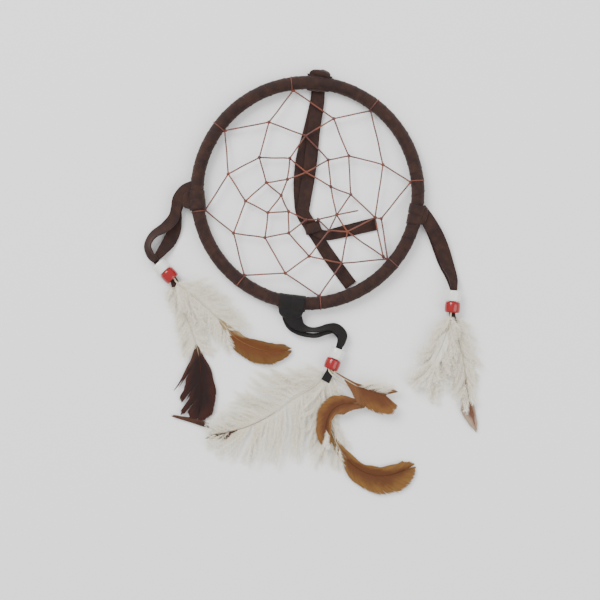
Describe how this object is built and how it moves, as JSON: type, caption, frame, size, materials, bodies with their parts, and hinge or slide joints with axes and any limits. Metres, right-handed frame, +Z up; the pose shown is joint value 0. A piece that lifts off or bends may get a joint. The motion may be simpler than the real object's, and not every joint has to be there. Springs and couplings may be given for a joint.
{
  "type": "dream catcher",
  "caption": "Dream catcher lying flat: lace-wrapped ring with a knotted cord web, a hanging lace and feather pendants with plastic beads.",
  "frame": {"origin": "on the surface it lies on, under the middle of the whole object without its laces", "axes": "+Z up, square to the hoop's plane and out of its front; +Y towards the hanging lace's hitch, the top when it hangs; +X to the right seen from the front"},
  "size_m": [0.2001, 0.2412, 0.01],
  "materials": {
    "ring_wire": "plain drawn wire, hidden under the wrapping",
    "hoop_wrap": "dark brown suede lace, wound in a spiral",
    "lace": "dark brown suede lace, matt, cut edges",
    "web_cord": "red-brown twisted cord, slightly waxed",
    "white_bead": "opaque white moulded plastic, glossy",
    "red_bead": "opaque red moulded plastic, glossy",
    "feather_cream": "cream down and soft barbs",
    "feather_tan": "tan brown vane, cream down at the base",
    "feather_dark": "dark red-brown vane, cream down at the base"
  },
  "bodies": {
    "hoop": {"ring_core": "ring_wire", "hoop_wrap": "hoop_wrap", "web_net": "web_cord", "left_hitch": "lace", "right_hitch": "lace"},
    "hanger": {"hanger_hitch": "lace", "hanger_strand_left": "lace", "hanger_strand_right": "lace", "hanger_knot": "lace", "hanger_tail_upper": "lace", "hanger_tail_lower": "lace"},
    "left_pendant": {"left_lace_inner": "lace", "left_lace_outer": "lace", "left_white_bead": "white_bead", "left_red_bead": "red_bead", "left_lace_end": "lace", "left_feather_dark": "feather_dark", "left_feather_tan": "feather_tan"},
    "bottom_pendant": {"bottom_hitch": "lace", "bottom_lace_front": "lace", "bottom_lace_back": "lace", "bottom_white_bead": "white_bead", "bottom_red_bead": "red_bead", "bottom_lace_end": "lace", "bottom_feather_plume": "feather_cream", "bottom_feather_curl": "feather_cream", "bottom_feather_short": "feather_tan", "bottom_feather_tan": "feather_tan"},
    "right_pendant": {"right_lace_front": "lace", "right_lace_back": "lace", "right_white_bead": "white_bead", "right_red_bead": "red_bead", "right_lace_end": "lace", "right_feather_inner": "feather_cream", "right_feather_long": "feather_cream", "right_feather_soft": "feather_cream"}
  },
  "joints": [
    {"name": "hanger_swing", "type": "hinge", "parent": "hoop", "child": "hanger", "pos_m": [-0.00136, 0.11255, 0.005], "axis": [0.9945, -0.1045, 0], "range_deg": [0, 180]},
    {"name": "left_swing", "type": "hinge", "parent": "hoop", "child": "left_pendant", "pos_m": [-0.0806, 0.0428, 0.0046], "axis": [-1, 0, 0], "range_deg": [0, 130]},
    {"name": "bottom_swing", "type": "hinge", "parent": "hoop", "child": "bottom_pendant", "pos_m": [-0.01684, -0.01348, 0.005], "axis": [-0.9903, 0.1392, 0], "range_deg": [0, 130]},
    {"name": "right_swing", "type": "hinge", "parent": "hoop", "child": "right_pendant", "pos_m": [0.0623, 0.0325, 0.0046], "axis": [-1, 0, 0], "range_deg": [0, 130]}
  ]
}
